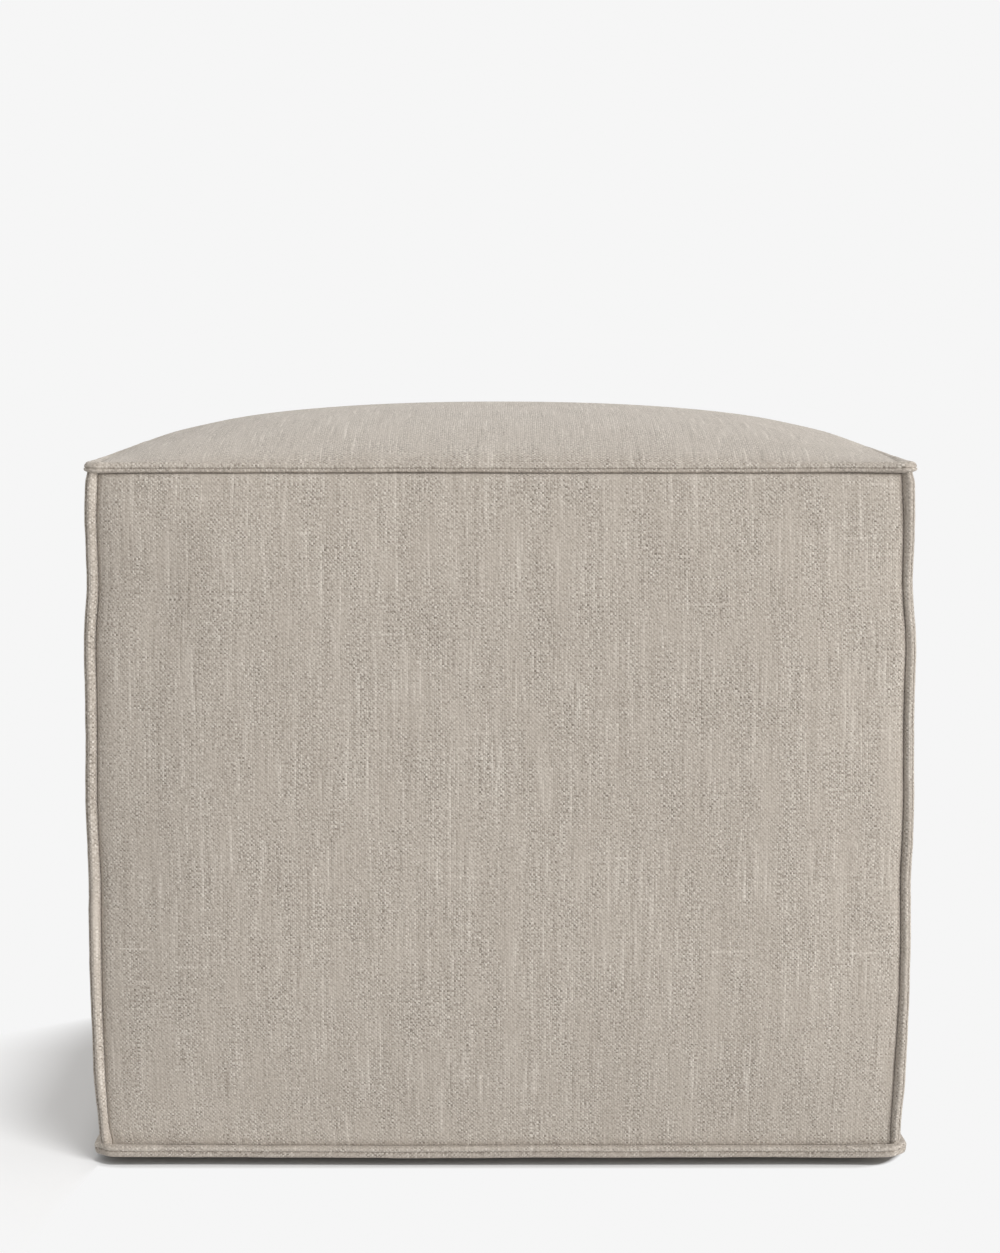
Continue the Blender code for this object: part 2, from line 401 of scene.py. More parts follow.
# The flanges: their folded layers, and how uneven they are.
flanges = {
    # each layer of folded cloth: its height over the join line, its height at the root, how square it is
    "plain": (0.0029, 0.00172, 0.35),
    "topOver": (0.0046, 0.0041, 0.1),
    "topUnder": (0.0023, 0.00172, 0.5),
    "baseOver": (0.0029, 0.00082, 0.70),
    "baseUnder": (0.0045, 0.00172, 0.8),
    # a layer's outline in shares of its reach and height: up from the root, then a soft or a square roll
    "rise": ((0.0, 0.0), (0.14, 0.54), (0.30, 0.87), (0.48, 1.0)),
    "softRoll": ((0.66, 0.97), (0.80, 0.87), (0.91, 0.70), (0.975, 0.47), (1.0, 0.25),
                 (0.994, 0.11), (0.955, 0.07)),
    "squareRoll": ((0.70, 1.0), (0.86, 0.97), (0.955, 0.85), (0.99, 0.62), (1.0, 0.34),
                   (0.994, 0.12), (0.955, 0.07)),
    "buried": (0.0016, 0.8),  # how deep a layer's root goes in, and what share of its height it keeps
    "groove": 0.0005,  # depth of the join line at the tip
    "overJoin": 0.0007,  # length of thread across it
    # painted shade: how strongly the groove at the tip is darkened in the cloth's colour, on each point
    # across it
    "joinLine": (0.2, 0.8, 1, 1, 1),  # how clearly it shows on the points across it
    "held": 0.35,  # share of the reach, from the root, where the stitching still holds it
    "spacing": 0.0026,  # between the sections swept along a seam
    # waves in a whole seam with their sizes, then what they do to a flange
    "waves": ((5, 0.30), (9, 0.28), (17, 0.22), (31, 0.16), (47, 0.12), (83, 0.07)),
    "fuller": (0.05, 0.02),  # long and short waves
    "longer": 0.04,
    "sway": 0.00030,
    # the bake map: strips for the lengths of a seam, and discs for cut ends
    "strips": 4,
    "bakeAlong": (0.006, 0.966),
    "bakeAcross": (0.03, 0.94),
    "bakeEnds": ((0.987, 0.25), (0.987, 0.75)),
    "bakeDisc": 0.008,
    "endThreads": 0.003,  # how much of the thread map a cut end takes
}


def ripple(t, seed):
    # smooth unevenness along a seam that closes on itself, t from 0 to 1
    return sum(size * np.sin(2 * math.pi * (n * t + (seed * 0.381 + n * 0.1373) % 1))
               for n, size in flanges["waves"])


def unevenness(t, seeds):
    # how much fuller and longer a flange is along its seam, as shares, and how far it sways
    long, short = flanges["fuller"]
    fuller = long * ripple(t, seeds[0]) + short * ripple(t * 3 % 1, seeds[1])
    return fuller, flanges["longer"] * ripple(t, seeds[2]), flanges["sway"] * ripple(t, seeds[3])


def looseness(along, reach):
    # 0 at the root, which the stitching holds, and 1 towards the tip
    return min(max(along / (flanges["held"] * reach), 0), 1)


def rolledLayer(reach, half, root, square):
    # one layer of cloth, from its buried root over the roll to the join line at the tip
    start = root / half
    depth, keeps = flanges["buried"]
    rise = [(out, start + (1 - start) * up) for out, up in flanges["rise"]]
    soft, hard = np.array(flanges["softRoll"]), np.array(flanges["squareRoll"])
    roll = soft + (hard - soft) * square
    return np.concatenate([[(-depth / reach, keeps * start)], rise, roll]) * (reach, half)


def flangeSection(reach, low, high):
    # the lower layer to the join line, then back over the upper layer
    under, over = rolledLayer(reach, *flanges[low]), rolledLayer(reach, *flanges[high])
    section = np.concatenate([under * (1, -1), [(reach - flanges["groove"], 0.0)], over[::-1]])
    down, up = (arcLength(layer) - arcLength(layer)[1] for layer in (under, over))
    depth = np.concatenate([down, [down[-1] + flanges["overJoin"]], up[::-1], down[:1]])
    return section, depth, len(under)


def sweptFlange(name, places, closed, threadsAt, joinShows):
    # places: the section's points at each place along the seam, as (places, points, 3)
    count, points = places.shape[:2]
    rows = count - 1 if closed else count
    at = np.arange(count) % rows * points
    i, j = (n.reshape(-1) for n in np.meshgrid(np.arange(count - 1), np.arange(points), indexing="ij"))
    nextJ = (j + 1) % points
    faces = np.stack([at[i] + j, at[i] + nextJ, at[i + 1] + nextJ, at[i + 1] + j], -1)
    ends = [] if closed else [list(range(points))[::-1], [(rows - 1) * points + k for k in range(points)]]
    mesh = makeMesh(name, places[:rows].reshape(-1, 3).tolist(), faces.tolist() + ends)
    faceRow, faceColumn = np.repeat(i, 4), np.repeat(j, 4)
    row = np.stack([i, i, i + 1, i + 1], -1).reshape(-1)
    column = np.stack([j, j + 1, j + 1, j], -1).reshape(-1)
    threads = np.zeros((len(mesh.loops), 2))
    threads[:len(row)] = threadsAt(faceRow, faceColumn, row, column)
    # the bake map: the seam in equal lengths, each a strip across the square
    strips = flanges["strips"]
    starts = np.round(np.arange(strips + 1) * (count - 1) / strips).astype(int)
    strip = np.searchsorted(starts, faceRow, side="right") - 1
    along = (row - starts[strip]) / (starts[strip + 1] - starts[strip])
    bake = np.zeros((len(mesh.loops), 2))
    bake[:len(row)] = np.stack([between(flanges["bakeAlong"], along),
                                (strip + between(flanges["bakeAcross"], column / points)) / strips], -1)
    turn = np.linspace(0, 2 * math.pi, points, endpoint=False)
    disc = np.stack([np.cos(turn), np.sin(turn)], -1)
    for k, centre in enumerate(flanges["bakeEnds"][:len(ends)]):
        spot = slice(len(row) + k * points, len(row) + (k + 1) * points)
        bake[spot] = np.array(centre) + flanges["bakeDisc"] * disc
        threads[spot] = threads[0] + flanges["endThreads"] * disc
    # the join line at the tip: painted shade of its groove, darkened into the cloth's colour there
    tip, shadeMarks = points // 2, np.zeros((rows, points, 3))
    shadeMarks[:, tip - 3:tip + 2, 2] = flanges["joinLine"]
    shadeMarks *= np.reshape(joinShows * np.ones(count), (-1, 1, 1))[:rows]
    return addPiece(mesh, threads, bake, shadeMarks)


def clothPlace(panel, u, v):
    # a place in a panel's part of the thread map
    middle = threadLines[panel][0]
    return np.stack([u + middle[0], v + middle[1]], -1)


# The two rings. Lengths that come in pairs are an amount and the spread it takes.
rings = {
    "topSeamFlange": {
        "node": "top_seam_flange",
        "seam": (cover["topRoot"], cover["topTilt"]),
        "reach": 0.0051,  # root to tip
        "layers": ("topUnder", "topOver"),
        "panels": (None, "topPanel"),  # sewn to its lower and upper layer; None: the sides
        "seeds": (1, 4, 2, 3),
        "flare": ((0.0030, 0.014), (0.0014, 0.050)),  # how much further it stands out at its corners
        "lift": (-0.0004, 0.016),  # how far its tip lifts there
        "raised": 0.0,  # and all along
        # painted shade of the groove along the join line, fainter at the ring's corners
        "softer": 0.85,  # how much fainter its join line is at its corners
    },
    "baseSeamFlange": {
        "node": "base_seam_flange",
        "seam": (cover["baseRoot"], cover["baseTilt"]),
        "reach": 0.0065,
        "layers": ("baseUnder", "baseOver"),
        "panels": ("basePanel", None),
        "seeds": (5, 8, 6, 7),
        "flare": ((0.0024, 0.030), (-0.0024, 0.010)),
        "lift": (0.0008, 0.020),
        "raised": 0.0004,
        "softer": 0.2,
    },
}
ringCorners = {
    "bend": 8,  # sections round half of a corner
    "run": 0.008,  # length of thread that a corner takes, for each radian
    # more or less flare: front left, front right, back right, back left
    "flare": (-0.0004, 0.0007, -0.0014, -0.0016),
    "droop": 0.5,  # how far a corner with less flare droops, as a share of what it lacks
    # the painted shade of the join line is fainter near a corner
    "joinFade": 0.010,  # how far from a corner the join line is fainter
}


def ringQuarter(out, sideCount):
    # from one corner's middle to the next, in the front side's frame
    bend = np.linspace(0, math.pi / 4, ringCorners["bend"] + 1)[1:]
    turn = np.concatenate([-bend[::-1], np.zeros(sideCount), bend])
    s = np.concatenate([-np.ones(len(bend)), np.linspace(-1, 1, sideCount), np.ones(len(bend))])
    reach, radius = cover["halfWidth"] - cover["cornerRadius"], cover["cornerRadius"] + out
    x = s * reach + radius * np.sin(turn)
    y = -(reach + radius * np.cos(turn)) - cover["seamBow"] * (1 - s * s)
    return x, y, s * reach + ringCorners["run"] * turn


def buildRing(name, ring):
    reach, (lowPanel, highPanel) = ring["reach"], ring["panels"]
    section, depth, middle = flangeSection(reach, *ring["layers"])
    sideCount = int(2 * cover["halfWidth"] / flanges["spacing"]) + 1
    quarter = sideCount + 2 * ringCorners["bend"] - 1
    count = 4 * quarter + 1
    t = np.linspace(0, 1, count)
    fuller, longer, sway = unevenness(t, ring["seeds"])
    fromCorner = ((t * 4 + 0.5) % 1 - 0.5) * 2 * cover["halfWidth"]
    extra = np.array(ringCorners["flare"])[np.round(t * 4).astype(int) % 4]
    (main, mainSpread), (more, moreSpread) = ring["flare"]
    flare = (main + extra) * bell(fromCorner / mainSpread) + more * bell(fromCorner / moreSpread)
    longer = longer + flare / reach
    lift, spread = ring["lift"]
    lift = lift + ringCorners["droop"] * np.minimum(extra, 0)
    sway = sway + lift * bell(fromCorner / spread) + ring["raised"]
    places = np.zeros((count, len(section), 3))
    for side in range(4):
        spot = slice(side * quarter, (side + 1) * quarter + 1)
        for k, (along, across) in enumerate(section):
            free = looseness(along, reach)
            out, z = seamPoint(*ring["seam"], cover["gap"] + along * (1 + longer[spot] * free),
                               across * (1 + fuller[spot] * free) + sway[spot] * free)
            x, y, run = ringQuarter(out, sideCount)
            places[spot, k, 0], places[spot, k, 1] = turned(x, y, side)
            places[spot, k, 2] = z

    def threadsAt(faceRow, faceColumn, row, column):
        side = np.minimum(faceRow // quarter, 3)
        u = run[row - side * quarter]
        found = np.zeros((len(row), 2))
        for k in range(4):
            for panel, here in ((lowPanel, faceColumn < middle), (highPanel, faceColumn >= middle)):
                spot = here & (side == k)
                label = panel or panelList[k][0]
                v = threadLines[label][2] + depth[column[spot]]
                if panel:  # the level panel's own threads run on, whichever side this is
                    found[spot] = clothPlace(label, *turned(u[spot], -v, k))
                else:
                    found[spot] = clothPlace(label, u[spot], v if highPanel else -v)
        return found

    # how dark the painted shade of the join line is, fainter near the corners
    joinShows = 1 - ring["softer"] * bell(fromCorner / ringCorners["joinFade"])
    return sweptFlange(name, places, True, threadsAt, joinShows), places


# The four vertical flanges, whose ends are caught under the rings.
corners = {
    "reach": 0.005,  # root to tip, as the section is drawn
    # height, and the reach of a flange there
    "reaches": ((0.012, 0.0040), (0.02, 0.0046), (0.03, 0.0049), (0.037, 0.0053), (0.045, 0.0058),
                (0.053, 0.0061), (0.06, 0.0060), (0.08, 0.0055), (0.09, 0.0052), (0.13, 0.0050),
                (0.20, 0.0054), (0.28, 0.0051), (0.34, 0.0048), (0.37, 0.0048), (0.40, 0.0056),
                (0.43, 0.0068)),
    "caught": 0.0010,  # how far the ends go past the panels' edges
    "close": (0.012, 8, 1.4),  # ends with closer sections: length, how many, how sharply
    "tuck": (0.26, 0.0030),  # share of the reach lost at the ends, and over what length
    "slim": 0.08,  # share of the thickness lost there
    "seeds": (11, 21, 31, 41),
    "turns": 0.8,  # share of a ring's unevenness that one of them goes through
    # how dark the painted shade of the join line is on these flanges
    "joinShows": 1.35,
}


def buildCornerFlange(name, side):
    reach = corners["reach"]
    section, depth, middle = flangeSection(reach, "plain", "plain")
    low, high = baseHigh[1] - corners["caught"], topLow[1] + corners["caught"]
    length, sections, sharpness = corners["close"]
    closer = np.linspace(0, 1, sections + 1)[:-1] ** sharpness * length
    evenly = np.linspace(low + length, high - length, int((high - low) / flanges["spacing"]) - sections - 1)
    z = np.concatenate([low + closer, evenly, (high - closer)[::-1]])
    t = (z - low) / (high - low) * corners["turns"]
    fuller, longer, sway = unevenness(t, [side + seed for seed in corners["seeds"]])
    share, length = corners["tuck"]
    caught = bell(np.minimum(z - low, high - z) / length)
    fuller = (1 - corners["slim"] * caught) * (1 + fuller)
    pull = edgePull(z, side)
    reachHere = np.interp(z, *zip(*corners["reaches"])) + pull * math.sqrt(2)
    longer = (1 - share * caught) * (1 + longer) * reachHere / reach
    root = cover["halfWidth"] + edgeShift(z) + edgeWaver(z, side) - pull - cover["flat"] / 2
    diagonal = math.sqrt(0.5)
    places = np.zeros((len(z), len(section), 3))
    for k, (along, across) in enumerate(section):
        free = looseness(along, reach)
        out = root + (cover["gap"] + along * (longer if along > 0 else 1)) * diagonal
        width = (across * (1 + (fuller - 1) * free) + sway * free) * diagonal
        places[:, k, 0], places[:, k, 1] = turned(out + width, -(out - width), side)
        places[:, k, 2] = z
    heights = 2 * (z - baseHigh[1]) / (topLow[1] - baseHigh[1]) - 1

    def threadsAt(faceRow, faceColumn, row, column):
        found = np.zeros((len(row), 2))
        for label, sign, here in ((panelList[side][0], 1, faceColumn < middle),
                                  (panelList[(side + 1) % 4][0], -1, faceColumn >= middle)):
            _, halfU, _, v = threadLines[label]
            up = np.interp(heights[row[here]], steps(panels["grid"]), v)
            found[here] = clothPlace(label, sign * (halfU + depth[column[here]]), up)
        return found

    return sweptFlange(name, places, False, threadsAt, corners["joinShows"]), places


# The stitches along the roots of the flanges.
stitches = {
    "pitch": 0.0034,
    "length": 0.0024,
    "thickness": 0.00062,
    "seed": 7,
    "uneven": (0.88, 1.08),  # smallest and largest, as shares
    "ball": (6, 4),  # segments and rings of one stitch
    "out": 0.45,  # where they lie, from a section's first point above the root to its next
    "short": 2,  # sections left bare at the ends of a corner flange
}


def stitchLines(places):
    # down both sides of a flange, just out of its root
    out = stitches["out"]
    return [(1 - out) * places[:, near] + out * places[:, far] for near, far in ((1, 2), (-2, -3))]


class GeometryTree:
    # a Geometry Nodes group put together node by node
    def __init__(self, name):
        self.values = {}
        self.group = bpy.data.node_groups.new(name, "GeometryNodeTree")
        self.group.interface.new_socket("Geometry", in_out="OUTPUT", socket_type="NodeSocketGeometry")
        self.group.interface.new_socket("Geometry", in_out="INPUT", socket_type="NodeSocketGeometry")
        self.inputs = self.group.nodes.new("NodeGroupInput")
        self.end = self.group.nodes.new("NodeGroupOutput")

    def entry(self, name, value, kind="NodeSocketFloat"):
        item = self.group.interface.new_socket(name, in_out="INPUT", socket_type=kind)
        self.values[item.identifier] = value
        return self.inputs.outputs[name]

    def add(self, kind, settings=None, **sockets):
        node = self.group.nodes.new(kind)
        for key, value in (settings or {}).items():
            setattr(node, key, value)
        for key, value in sockets.items():
            socket = next(s for s in node.inputs if s.name.replace(" ", "") == key and s.enabled)
            if isinstance(value, bpy.types.NodeSocket):
                self.group.links.new(value, socket)
            else:
                socket.default_value = value
        return node


def sewStitches(lines, material):
    points, edges = [], []
    for line, closed in lines:
        first = len(points)
        points += line.tolist()
        edges += [(first + k, first + k + 1) for k in range(len(line) - 1)]
        if closed:
            edges.append((first + len(line) - 1, first))
    seam = newObject("stitchLines", makeMesh("stitchLines", points, [], edges))

    tree = GeometryTree("seamStitching")
    pitch, length, thickness = (tree.entry(key, stitches[key]) for key in ("pitch", "length", "thickness"))
    seed = tree.entry("seed", stitches["seed"], "NodeSocketInt")
    finish = tree.entry("thread", material, "NodeSocketMaterial")
    (segments, rounds), (least, most) = stitches["ball"], stitches["uneven"]
    curve = tree.add("GeometryNodeMeshToCurve", Mesh=tree.inputs.outputs["Geometry"])
    spaced = tree.add("GeometryNodeResampleCurve", {"mode": "LENGTH"}, Curve=curve.outputs[0], Length=pitch)
    ball = tree.add("GeometryNodeMeshUVSphere", Segments=segments, Rings=rounds, Radius=0.5)
    smooth = tree.add("GeometryNodeSetShadeSmooth", Geometry=ball.outputs["Mesh"])
    tangent = tree.add("GeometryNodeInputTangent")
    lay = tree.add("FunctionNodeAlignRotationToVector", {"axis": "Z"}, Vector=tangent.outputs[0])
    uneven = tree.add("FunctionNodeRandomValue", {"data_type": "FLOAT"}, Min=least, Max=most, Seed=seed)
    shape = tree.add("ShaderNodeCombineXYZ", X=thickness, Y=thickness, Z=length)
    sized = tree.add("ShaderNodeVectorMath", {"operation": "SCALE"}, Vector=shape.outputs[0],
                     Scale=uneven.outputs[1])
    laid = tree.add("GeometryNodeInstanceOnPoints", Points=spaced.outputs[0], Instance=smooth.outputs[0],
                    Rotation=lay.outputs[0], Scale=sized.outputs[0])
    real = tree.add("GeometryNodeRealizeInstances", Geometry=laid.outputs[0])
    dressed = tree.add("GeometryNodeSetMaterial", Geometry=real.outputs[0], Material=finish)
    tree.group.links.new(dressed.outputs[0], tree.end.inputs[0])

    sewing = seam.modifiers.new("sewing", "NODES")
    sewing.node_group = tree.group
    for key, value in tree.values.items():
        sewing[key] = value
    made = bpy.data.meshes.new_from_object(seam.evaluated_get(bpy.context.evaluated_depsgraph_get()))
    made.name = "seamStitches"
    bpy.data.objects.remove(seam, do_unlink=True)
    print("stitches:", len(made.polygons), "faces")
    return newObject("seamStitches", made)


def mathNode(operation):
    return lambda wire, *others: wire.math(operation, *others)


class Wire:
    # a number in a shader; working with it adds Math nodes
    def __init__(self, tree, socket):
        self.tree, self.socket = tree, socket

    def math(self, operation, *others):
        return self.tree.add("ShaderNodeMath", {"operation": operation}, dict(enumerate([self, *others])))

    __add__ = __radd__ = mathNode("ADD")
    __mul__ = __rmul__ = mathNode("MULTIPLY")
    __sub__, __truediv__, __pow__ = mathNode("SUBTRACT"), mathNode("DIVIDE"), mathNode("POWER")
    __abs__, sin, cos, floor = map(mathNode, ("ABSOLUTE", "SINE", "COSINE", "FLOOR"))

    def __neg__(self):
        return self * -1

    def __rsub__(self, other):
        return -self + other

    def clamped(self, low=0.0, high=1.0):
        return self.math("MAXIMUM", low).math("MINIMUM", high)


class ShaderTree:
    def __init__(self, material):
        material.use_nodes = True
        self.nodes, self.links = material.node_tree.nodes, material.node_tree.links
        self.nodes.clear()

    def add(self, kind, settings=None, sockets=None, output=0):
        node = self.nodes.new(kind)
        for key, value in (settings or {}).items():
            if key == "stops":
                ramp = node.color_ramp
                while len(ramp.elements) < len(value):
                    ramp.elements.new(0.5)
                for stop, (place, colour) in zip(ramp.elements, value):
                    stop.position, stop.color = place, (*colour, 1.0)
            else:
                setattr(node, key, value)
        for key, value in (sockets or {}).items():
            if isinstance(value, Wire):
                self.links.new(value.socket, node.inputs[key])
            elif value is not None:
                node.inputs[key].default_value = value
        return Wire(self, node.outputs[output]) if len(node.outputs) else None

    def split(self, vector):
        first = self.add("ShaderNodeSeparateXYZ", None, {0: vector})
        return [Wire(self, s) for s in first.socket.node.outputs]

    def vector(self, x, y, z=0.0):
        return self.add("ShaderNodeCombineXYZ", None, {0: x, 1: y, 2: z})

    def noise(self, place, scale, detail=2.0, roughness=0.5):
        return self.add("ShaderNodeTexNoise", {"noise_dimensions": "3D"},
                        {"Vector": place, "Scale": scale, "Detail": detail, "Roughness": roughness})

    def mix(self, share, first, second):
        return self.add("ShaderNodeMix", {"data_type": "FLOAT"}, {"Factor": share, "A": first, "B": second})

    def ramp(self, share, *stops):
        return self.add("ShaderNodeValToRGB", {"stops": stops}, {0: share})

    def bump(self, strength, distance, height):
        return self.add("ShaderNodeBump", None,
                        {"Strength": strength, "Distance": distance, "Height": height})


weave = {
    "warpPitch": 0.00130,  # between threads that run up a side panel
    "weftPitch": 0.00129,
    "wander": 1.8,  # how many threads' widths a thread may stray
    "flatness": 0.6,  # how flat a thread's back is
    "lift": (0.58, 0.42),  # a thread's height, and how far it goes over and under the others
    "weftLow": 0.84,  # how high the weft stands beside the warp
    "crossing": 5,  # how sharply one thread covers the other
    "deep": (0.223, 0.190, 0.156),
    "mid": (0.471, 0.416, 0.358),
    "pale": (0.694, 0.639, 0.570),
    "relief": 0.00026,  # height of a thread over the gaps
    # layers of noise: how often they change across and up the cloth, which part of the noise they
    # take, its detail and roughness, and what is taken off it
    "layers": {
        "wanderU": (290, 19, 0.0, 2.0, 0.6, 0.5),
        "wanderV": (26, 270, 4.0, 2.0, 0.6, 0.5),
        "clear": (64, 21, 51.0, 2.0, 0.5, 0.5),
        "tight": (390, 360, 53.0, 1.0, 0.5, 0.5),
        "grain": (620, 590, 71.0, 0.0, 0.5, 0.5),
        "mottle": (230, 190, 73.0, 1.0, 0.5, 0.5),
        "warpTone": (7.31, 9, 1.0, 4.0, 0.7, 0.5),
        "broadTone": (150, 4, 13.0, 2.0, 0.6, 0.5),
        "weftTone": (22, 5.17, 9.0, 3.0, 0.6, 0.5),
        "slub": (3.77, 16, 17.0, 1.0, 0.5, 0.58),
        "sunk": (2.93, 16, 19.0, 1.0, 0.5, 0.63),
        "weftSlub": (19, 4.13, 23.0, 1.0, 0.5, 0.69),
        "fibre": (2600, 1500, 0.0, 2.0, 0.6, 0.5),
        "cloud": (45, 26, 31.0, 3.0, 0.55, 0.5),
        # dashes that break up the painted shade of the join line
        "dashes": (420, 420, 61.0, 1.0, 0.5, 0.3),
    },
    # how strongly the weave shows in patches: contrast, middle, least and most
    "clear": (2.4, 0.95, 0.45, 1.4),
    "tight": (7, 0.75, -0.9, 2.6),
    "spots": {"slub": 8, "sunk": 10, "weftSlub": 10, "dashes": 3},  # how sharply each of them ends
    # shares of the shade: of the crossing threads, from place to place, and from thread to thread
    "check": {"over": 0.27, "twist": 0.030},
    "grains": {"cell": 0.19, "grain": 0.64},
    "tones": {"warpTone": 0.58, "broadTone": 0.13, "mottle": 0.10, "weftTone": 0.13,
              "slub": 0.24, "sunk": -0.14, "weftSlub": 0.26},
    "shade": 0.53,
    # the last three shares darken the cloth as painted shade: in the gaps between threads and in the groove
    # along a flange's join line
    "shades": {"threads": 0.8, "weave": 1, "fibre": 0.26, "cloud": 0.04, "gaps": -0.12,
               "join": -0.10, "joinDashes": -0.30},
    # shares of the height: of the crossing threads, and of what lies over them
    "woven": {"height": 0.5, "over": 0.45, "twist": 0.1, "cell": 0.4},
    "rough": {"grain": 0.8, "fibre": 0.3, "pucker": 0.3},
    "pucker": (0.0105, 60, 9),  # length of a pucker beside a seam, how often that changes, and how much
}


def wovenCloth(name):
    material = bpy.data.materials.new(name)
    t = ShaderTree(material)
    u, v, _ = t.split(t.add("ShaderNodeUVMap", {"uv_map": "threads"}))
    pi = math.pi

    def layer(kind, x=u, y=v):
        across, up, place, detail, roughness, less = weave["layers"][kind]
        return t.noise(t.vector(x * across, y * up, place), 1.0, detail, roughness) - less

    def patches(kind):
        contrast, middle, least, most = weave[kind]
        return (layer(kind) * contrast + middle).clamped(least, most)

    def spots(kind, x=u, y=v):
        return (layer(kind, x, y) * weave["spots"][kind]).clamped()

    def blend(kind):
        return sum(parts[part] * share for part, share in weave[kind].items())

    # threads wander a little from straight, and lie closer in some places than others
    p = u / weave["warpPitch"] + layer("wanderU") * weave["wander"]
    q = v / weave["weftPitch"] + layer("wanderV") * weave["wander"]
    i, j = p.floor(), q.floor()
    warpRound, weftRound = abs((p * pi).sin()), abs((q * pi).sin())
    warpLift, weftLift = (q * pi + i * pi).sin(), -(p * pi + j * pi).sin()
    middle, lift = weave["lift"]
    warpHeight = warpRound ** weave["flatness"] * (middle + lift * warpLift)
    weftHeight = weftRound ** weave["flatness"] * (middle + lift * weftLift) * weave["weftLow"]
    onTop = ((warpHeight - weftHeight) * weave["crossing"] + 0.5).clamped()  # 1 where a warp thread shows
    height = t.mix(onTop, weftHeight, warpHeight)
    cell = t.add("ShaderNodeTexWhiteNoise", {"noise_dimensions": "3D"}, {"Vector": t.vector(i, j, 3.0)})
    parts = {"height": height, "over": onTop - 0.5, "twist": -(p * pi).cos() * (q * pi).cos(),
             "cell": cell - 0.5, "grain": layer("grain")}

    # the weave shows more clearly in some patches than in others
    clear, tight = patches("clear"), patches("tight")
    parts["weave"] = (blend("check") * tight + blend("grains")) * clear

    # shade of each thread: its own tone, pale slubs along it, and fibres
    parts["mottle"], parts["broadTone"] = layer("mottle"), layer("broadTone")
    parts["warpTone"], parts["weftTone"] = layer("warpTone", i, v), layer("weftTone", u, j)
    parts["slub"], parts["sunk"] = spots("slub", i, v), spots("sunk", i, v)
    parts["weftSlub"] = spots("weftSlub", u, j)
    # the gaps between threads are darkened in colour as painted shade
    parts["fibre"], parts["cloud"], parts["gaps"] = layer("fibre"), layer("cloud"), (1 - height) ** 2
    parts["threads"] = blend("tones")
    # the attribute's third part marks a flange's join line, where the cloth is darkened in dashes as
    # painted shade of its groove
    nearU, nearV, join = t.split(t.add("ShaderNodeAttribute", {"attribute_name": "nearSeam"}, output=1))
    parts["join"], parts["joinDashes"] = join, join * spots("dashes")
    shade = (blend("shades") + weave["shade"]).clamped()
    colour = t.ramp(shade, (0.0, weave["deep"]), (0.5, weave["mid"]), (1.0, weave["pale"]))

    # small puckers beside the stitching
    length, often, change = weave["pucker"]
    puckerU = (v * (2 * pi / length) + t.noise(t.vector(0.0, v * often, 41.0), 1.0, 1.0) * change).sin()
    puckerV = (u * (2 * pi / length) + t.noise(t.vector(u * often, 0.0, 43.0), 1.0, 1.0) * change).sin()
    parts["pucker"] = puckerU * nearU + puckerV * nearV
    skin = t.add("ShaderNodeBsdfPrincipled", None, {
        "Base Color": colour, "Roughness": 0.94 - height * 0.10, "Specular IOR Level": 0.22,
        "Sheen Weight": 0.22, "Sheen Roughness": 0.45, "Sheen Tint": (0.95, 0.92, 0.88, 1.0),
        "Normal": t.bump(1.0, weave["relief"], blend("woven") * clear + blend("rough"))})
    t.add("ShaderNodeOutputMaterial", None, {"Surface": skin})
    return material


sewing = {
    "deep": (0.50, 0.455, 0.400),
    "pale": (0.66, 0.610, 0.550),
    "fineness": 900.0,  # of the thread's fibres and its twist
    "relief": 0.0001,
}


def sewingThread(name):
    material = bpy.data.materials.new(name)
    t = ShaderTree(material)
    where = t.add("ShaderNodeTexCoord", output=3)
    tone = t.noise(where, sewing["fineness"], 2.0)
    colour = t.ramp(tone, (0.25, sewing["deep"]), (0.75, sewing["pale"]))
    twist = t.add("ShaderNodeTexWave", {"bands_direction": "DIAGONAL"},
                  {"Vector": where, "Scale": sewing["fineness"], "Distortion": 1.0})
    skin = t.add("ShaderNodeBsdfPrincipled", None, {
        "Base Color": colour, "Roughness": 0.62 + tone * 0.2, "Sheen Weight": 0.15,
        "Normal": t.bump(0.5, sewing["relief"], twist)})
    t.add("ShaderNodeOutputMaterial", None, {"Surface": skin})
    return material


print("settling the cloth")
moves = settleCloth() + [None]
linen = wovenCloth("oatmealLinen")
thread = sewingThread("sewingThread")
for (name, shape, facing, offset), move in zip(panelList, moves):
    piece = buildPanel(name, shape, facing, offset, move)
    piece.data.materials.append(linen)
    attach(piece, "root")
    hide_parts("filled_cube")
    print(name, "built,", len(piece.data.polygons), "faces")

seams, sewn = [], []
for name, ring in rings.items():
    flange, places = buildRing(name, ring)
    seams.append((flange, ring["node"]))
    sewn += [(line, True) for line in stitchLines(places[:-1])]
for side in range(4):
    flange, places = buildCornerFlange(f"cornerSeamFlange{side + 1}", side)
    seams.append((flange, f"corner_seam_flange_{side + 1}"))
    sewn += [(line, False) for line in stitchLines(places[stitches["short"]:-stitches["short"]])]
for flange, node in seams:
    flange.data.materials.append(linen)
    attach(flange, "root")
    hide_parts(node)
    print(flange.name, "built,", len(flange.data.polygons), "faces")

stitching = sewStitches(sewn, thread)
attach(stitching, "root")

